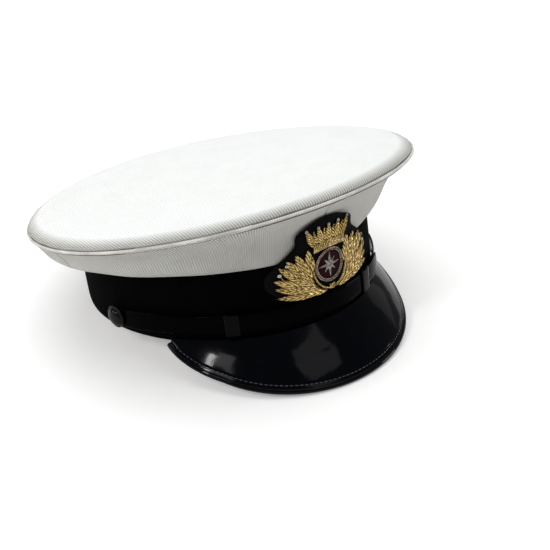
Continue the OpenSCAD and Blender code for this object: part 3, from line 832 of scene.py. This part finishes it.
def badge_plate(name, node, outline, d, thick, dome_up, mat):
    """Flat or domed plate with a rounded edge, bent to the front of the band."""
    outline = np.asarray(outline)
    middle = outline.mean(0)
    verts, uvs = [], []
    scales = [0.02, 0.25, 0.5, 0.75, 0.9, 0.96, 0.985, 1.0]
    for k, top in [(k, 1) for k in scales] + [(k, 0) for k in scales[::-1]]:
        edge = max(0.0, (k - 0.9) / 0.1)
        up = top * (thick * (1 - 0.55 * edge**2.5) + dome_up * (1 - k * k))
        for x, y in middle + (outline - middle) * k:
            verts.append(badge(x, y, d + up))
            uvs.append((x, y))
    faces = ring_faces(2 * len(scales), len(outline))
    piece = outward(new_piece(name, verts, faces, mat, "cap", uvs))
    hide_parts(node)
    return piece


def bullion_leaf(made, x, y, angle, length, width, d, height, bend, slant=0.28):
    """Padded leaf of laid wire: strands slant from its midrib out to its edges and tip."""
    rows, cols, pitch = max(24, int(length * 2.2)), 23, 1.25
    turn = math.radians(angle)
    grid, back, uvs = [], [], []
    for i in range(rows):
        t = i / (rows - 1)
        half = max(0.06, 0.48 * width * math.sin(math.pi * min(1, t * 0.94 + 0.06))**0.75)
        along = length * t
        way = turn + math.radians(bend) * t
        cx = x + along * math.cos(turn + math.radians(bend) * t / 2)
        cy = y + along * math.sin(turn + math.radians(bend) * t / 2)
        line, flat, uv = [], [], []
        for u in np.linspace(-1, 1, cols):
            px, py = cx - half * u * math.sin(way), cy + half * u * math.cos(way)
            strand = 0.95 * abs(u) * half - slant * along
            ridge = 0.24 * math.cos(2 * math.pi * strand / pitch)
            rib = -0.35 * math.exp(-(u / 0.14)**2)
            up = height * (1 - u**2)**0.5 * math.sin(math.pi * (0.08 + 0.84 * t))**0.4
            line.append(badge(px, py, d + 0.12 + max(0.0, up + (ridge + rib) * min(1, up * 2))))
            flat.append(badge(px, py, d))
            uv.append((strand, along))
        grid.append(line)
        back.append(flat)
        uvs.append(uv + uv[::-1])
    verts, faces = shell_grid(grid, back)
    made.add(verts, faces, [v for row in uvs for v in row])


def rope(made, path, radius, turns_per_mm, closed=True):
    """Two-strand twisted cord along a path of points in the cap's frame."""
    path = np.asarray(path, float)
    verts, faces, uvs = tube(path, radius, 16, closed=closed)
    verts = np.asarray(verts).reshape(len(path), 16, 3)
    run = np.concatenate([[0], np.cumsum(np.linalg.norm(np.diff(path, axis=0), axis=1))])
    whole = round(run[-1] * turns_per_mm)
    for i in range(len(path)):
        phase = 2 * math.pi * whole * run[i] / run[-1]
        turn = np.linspace(0, 2 * math.pi, 16, endpoint=False)
        swell = 0.72 + 0.3 * np.abs(np.cos(turn - phase))
        verts[i] = path[i] + (verts[i] - path[i]) * swell[:, None]
    made.add(verts.reshape(-1, 3), faces, uvs)


def spray(side, mat, berry_mat):
    """Spray of padded leaves beside the ring: a long row under two short ones, and berries."""
    made, berries = Build(), Build()
    for x, y, heading, length, width, lift in SPRAY:
        heading += rng.uniform(-1.5, 1.5)
        turned = heading if side > 0 else 180 - heading
        bullion_leaf(made, side * x, y, turned, length, width, THREAD_D + lift, 1.3, side * 8)
    stem = [badge(side * 13 * math.sin(math.radians(t)), RING_Y - 15 * math.cos(math.radians(t)),
                  THREAD_D + 1.9) for t in np.linspace(2, 88, 60)]
    rope(made, stem, 0.6, 0.5, closed=False)
    for root_x, root_y, tip_x, tip_y in ((25, 4, 29.6, 10.6), (31, 0, 34, 5.4)):
        line = [badge(side * (root_x + (tip_x - root_x) * t), root_y + (tip_y - root_y) * t,
                      THREAD_D + 1.2) for t in np.linspace(0, 1, 8)]
        made.add(*tube(line, 0.26, 8))
        ball(berries, side * tip_x, tip_y, THREAD_D + 0.7, 1.15)
    name = "left" if side > 0 else "right"
    piece = made.piece(f"badge_spray_{name}", mat)
    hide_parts(f"badge_wreath_{name}")
    berries.piece(f"badge_berries_{name}", berry_mat)


def ball(made, x, y, d, radius, height=None):
    """Padded knot on the badge."""
    height = height or radius
    rings, segments = 8, 20
    verts, uvs = [], []
    for i in range(rings):
        p = math.pi / 2 * i / (rings - 1)
        r = max(0.04, radius * math.cos(p))
        for j in range(segments):
            t = 2 * math.pi * j / segments
            verts.append(badge(x + r * math.cos(t), y + r * math.sin(t), d + height * math.sin(p)))
            uvs.append((r * 2, r * t))
    made.add(verts, ring_faces(rings, segments), uvs)


def ring(radius, n=120):
    """Circle about the middle of the badge's ring."""
    t = np.linspace(0, 2 * math.pi, n, endpoint=False)
    return np.stack([radius * np.cos(t), RING_Y + radius * np.sin(t)], 1)


def badge_middle(cord, silver, velvet):
    """Velvet ground with a double cord round it and a plain compass star on it."""
    ground = badge_plate("badge_ground", "badge_ground_velvet", ring(RING_R - 0.05),
                         THREAD_D, 0.7, 0.4, velvet)
    rim = Build()
    for radius, thick, lift in ((RING_R + 0.4, 0.4, 1.15), (RING_R + 1.6, 0.45, 1.25)):
        path = [badge(x, y, THREAD_D + lift) for x, y in ring(radius, 300)]
        rope(rim, path, thick, 0.42)
    made = rim.piece("badge_ring_cords", cord)
    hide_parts("badge_ring")
    star = Build()
    points = []
    for i in range(16):
        r = 2.5 if i % 2 else (8.5 if i % 4 == 0 else 5.8)
        t = math.radians(22.5 * i)
        points.append((r * math.sin(t), RING_Y + r * math.cos(t)))
    base = [badge(x, y, THREAD_D + 0.9) for x, y in points]
    low = [badge(x, y, THREAD_D + 1.25) for x, y in points]
    top = badge(0, RING_Y, THREAD_D + 2.6)
    faces = [tuple(range(16))] + [(i, (i + 1) % 16, 16 + (i + 1) % 16, 16 + i) for i in range(16)]
    faces += [(16 + i, 16 + (i + 1) % 16, 32) for i in range(16)]
    star.add(base + low + [top], faces, [(3 * x, 3 * y) for x, y in points] * 2 + [(0, 0)])
    made = star.piece("badge_star", silver, smooth=False)
    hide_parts("badge_emblem")


def badge_crest(gold, silver):
    """Plain fan of padded rays with beads at their tips, over a corded bar."""
    made, beads = Build(), Build()
    low, half = 15.0, 12.4
    for i in range(9):
        t = (i - 4) / 4
        broad = i % 2 == 0
        x, y, angle = t * 10.8, low + 2.6 - 0.5 * t * t, 90 - 24 * t
        length = (12.2 if broad else 10.4) + 1.6 * t * t
        bullion_leaf(made, x, y, angle, length, 4.6 if broad else 2.2,
                     THREAD_D + (0.2 if broad else 0.0), 1.0, 0, 0.6)
        turn = math.radians(angle)
        tip = (x + length * math.cos(turn), y + length * math.sin(turn))
        ball(beads if broad else made, *tip, THREAD_D + 0.3, 0.95 if broad else 0.7, 1.1)
    for k, lift in enumerate((0.7, 1.1, 1.0, 0.6)):
        line = [badge(half * t, low - 0.7 + 1.2 * k + 0.9 * (1 - t * t), THREAD_D + lift + 0.2)
                for t in np.linspace(-1, 1, 90)]
        rope(made, line, 0.75, 0.45, closed=False)
    for t in np.linspace(-0.86, 0.86, 7):
        ball(beads, half * t, low + 1.1 + 0.9 * (1 - t * t), THREAD_D + 1.75, 0.55)
    for k in range(3):
        line = [badge(x, -11.6 + 1.1 * (k - 1), THREAD_D + 1.9 - 0.25 * abs(x))
                for x in np.linspace(-2.1, 2.1, 14)]
        rope(made, line, 0.55, 0.5, closed=False)
    piece = made.piece("badge_ray_fan", gold)
    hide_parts("badge_crest")
    beads.piece("badge_beads", silver)


def badge_pad(mat):
    half = PAD_HALF
    outline = half + [(-x, y) for x, y in half[-2:0:-1]]
    outline = smoothed(resample(outline, 240), 12)
    piece = badge_plate("badge_felt_pad", "badge_pad", outline, PAD_D, PAD_T - 0.1, 0.0, mat)


# ---- Inside ----
def sweatband(mat):
    """Leather inside band with a soft rolled top edge and a turned-out sewn foot."""
    rows = 300
    section_out, section_in = [], []
    top = BAND_H - 3
    for z in np.linspace(1.8, top, 16):
        section_out.append((SWEAT_OUT, z))
        section_in.append((SWEAT_IN - 0.15 * math.sin(math.pi * (z - 1.8) / (top - 1.8)), z))
    outer, inner, uvs = [], [], []
    for i in range(rows):
        a = wrap(360 * i / rows - 180)
        ripple = 0.12 * math.sin(math.radians(a) * 11) + 0.08 * math.sin(math.radians(a) * 23)
        outer.append([oval(a, d + ripple * (z / top)**3, z) for d, z in section_out])
        inner.append([oval(a, d + ripple * (z / top)**3, z) for d, z in section_in])
        row = [(math.radians(a) * 90, z) for _, z in section_out]
        uvs.append(row + row[::-1])
    verts, faces = shell_grid(outer, inner, close_rows=True)
    made = Build()
    made.add(verts, faces, [v for row in uvs for v in row])
    foot = [[[oval(wrap(360 * i / rows - 180), d, z) for d in (SWEAT_IN, FOOT_OUT)]
             for i in range(rows)] for z in (0.65, 1.75)]
    made.add(*shell_grid(*foot, close_rows=True))
    piece = made.piece("sweatband_leather", mat)
    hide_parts("sweatband")


def dress(node, mat):
    """Gives a carried-over CAD node its material."""
    mesh_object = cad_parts[node]
    mesh_object.data.materials.clear()
    mesh_object.data.materials.append(mat)


def main():
    make_camera()
    make_stage()
    # Painted shade: the top cloth's steep padded rim darkens to about half its white
    top_twill = white_twill("white_twill_top", 15, 1.75, (0.9, 0.91, 0.905), (0.97, 0.985, 0.98),
                            (0.975, 0.98, 0.975), (CROWN_W - 3.5, CROWN_W + 6.5),
                            (0.54, 0.53, 0.505))
    # Painted shade: the side panels are the same white cloth as the top, given about half its
    # brightness to stand in for the shade on them
    shaded_side_twill = white_twill("white_twill_side_shaded", 8, 1.6, (0.4, 0.395, 0.37), (0.5, 0.495, 0.47),
                             (0.94, 0.93, 0.91), (-16, -4), (1.06, 1.05, 1.04))
    crown_top(top_twill)
    for name, low in (("front_left", 0), ("front_right", -90), ("back_left", 90),
                      ("back_right", -180)):
        side_panel(f"white_quarter_{name}", f"side_panel_{name}", low, low + 90, shaded_side_twill)
    # Painted shade: the white cord is coloured mid-grey, well below the top's white
    piping(ribbed_cloth("white_piping", (0.5, 0.485, 0.46), (0.74, 0.72, 0.7), 30, 0.9, 0.1,
                        0.85, 0.05, 0.1))
    mohair = ribbed_cloth("black_mohair", (0.0003, 0.0003, 0.0004), (0.0014, 0.0014, 0.0017), 12,
                          1.1, 0.2, 0.8, 0.001, 0.01)
    band(mohair)
    peak_patent = patent("peak_patent", wave=0.32, soft=0.1)
    strap_patent = patent("strap_patent", (0.0003, 0.0003, 0.0004), 0.12, 0.08, 1.058)
    rim_binding(strap_patent)
    peak_skin(peak_patent)
    peak_edge(patent("peak_edge_patent", wave=0.1, scuff=0.1))
    # Partly painted highlight: the dark thread's own grain, lifted to a light grey that stands in
    # for the specks of light on the stitches
    peak_stitching(grained("peak_thread", (0.02, 0.02, 0.022), (0.11, 0.11, 0.115), 0.3))
    strap("strap_over", "chin_strap_outer", -1, 44.0, STRAP_OUTER, strap_patent)
    strap("strap_under", "chin_strap_inner", 1, -48.0, STRAP_INNER, strap_patent)
    loop_patent = patent("loop_patent", (0.0006, 0.0006, 0.0008), 0.4, 0.1, 1.12)
    keeper("keeper_loop_right", "strap_keeper_right", "keeper_right", KEEPER_RIGHT, loop_patent)
    keeper("keeper_loop_left", "strap_keeper_left", "keeper_left", KEEPER_LEFT, loop_patent)
    gloss = patent("button_gloss", (0.004, 0.004, 0.005), 0.05, 0.05)
    side_button("dome_button_right", "side_button_right", "button_right", -1, gloss)
    side_button("dome_button_left", "side_button_left", "button_left", 1, gloss)
    felt = grained("badge_felt", (0.0008, 0.0008, 0.001), (0.005, 0.005, 0.006), 0.9, 0.5, 0.15,
                   Sheen_Weight=0.01, Specular_IOR_Level=0.05)
    badge_pad(felt)
    gold = bullion("bullion_gold", (0.13, 0.07, 0.015), (1.0, 0.78, 0.34))
    silver = bullion("bullion_silver", (0.4, 0.37, 0.37), (0.95, 0.9, 0.9), 0.3, 0.4)
    velvet = grained("badge_velvet", (0.006, 0.001, 0.0016), (0.03, 0.003, 0.006), 0.85, 0.4, 0.12,
                     Sheen_Weight=0.03, Specular_IOR_Level=0.05)
    cord = bullion("bullion_cord", (0.05, 0.03, 0.028), (0.66, 0.53, 0.45), 0.7, 0.4)
    badge_middle(cord, silver, velvet)
    spray(1, gold, silver)
    spray(-1, gold, silver)
    badge_crest(gold, silver)
    leather = grained("sweat_leather", (0.2, 0.11, 0.055), (0.36, 0.22, 0.12), 0.55, 0.9, 0.15)
    sweatband(leather)
    lining = grained("lining_satin", (0.62, 0.6, 0.55), (0.8, 0.78, 0.73), 0.42, 0.6, 0.06,
                     Sheen_Weight=0.3)
    steel = grained("steel", (0.4, 0.4, 0.41), (0.66, 0.66, 0.67), 0.32, 0.5, 0.03, Metallic=1.0)
    board = grained("fibre_board", (0.2, 0.15, 0.1), (0.36, 0.29, 0.2), 0.85)
    under = grained("peak_under_leather", (0.012, 0.02, 0.014), (0.035, 0.055, 0.04), 0.5, 1.0,
                    0.2)
    ribbon = ribbed_cloth("bow_ribbon", (0.01, 0.01, 0.01), (0.04, 0.04, 0.045), 90, 0.7, 0.06)
    vinyl = grained("clear_vinyl", (0.84, 0.86, 0.87), (0.93, 0.95, 0.96), 0.14, 3.0, 0.06,
                    Transmission_Weight=0.75, IOR=1.35, Coat_Weight=0.5)
    for node in ("crown_lining_top", "crown_lining_side"):
        dress(node, lining)
    for node in ("grommet_ring", "front_stay", "washer_right", "washer_left", "split_pin_right",
                 "split_pin_left"):
        dress(node, steel)
    dress("band_stiffener", board)
    dress("badge_backing", felt)
    dress("peak_core", grained("black_board", (0.001, 0.001, 0.001), (0.006, 0.006, 0.006), 0.9,
                               Specular_IOR_Level=0.05))
    dress("peak_lining", under)
    dress("sweatband_bow", ribbon)
    dress("sweat_shield", vinyl)


main()
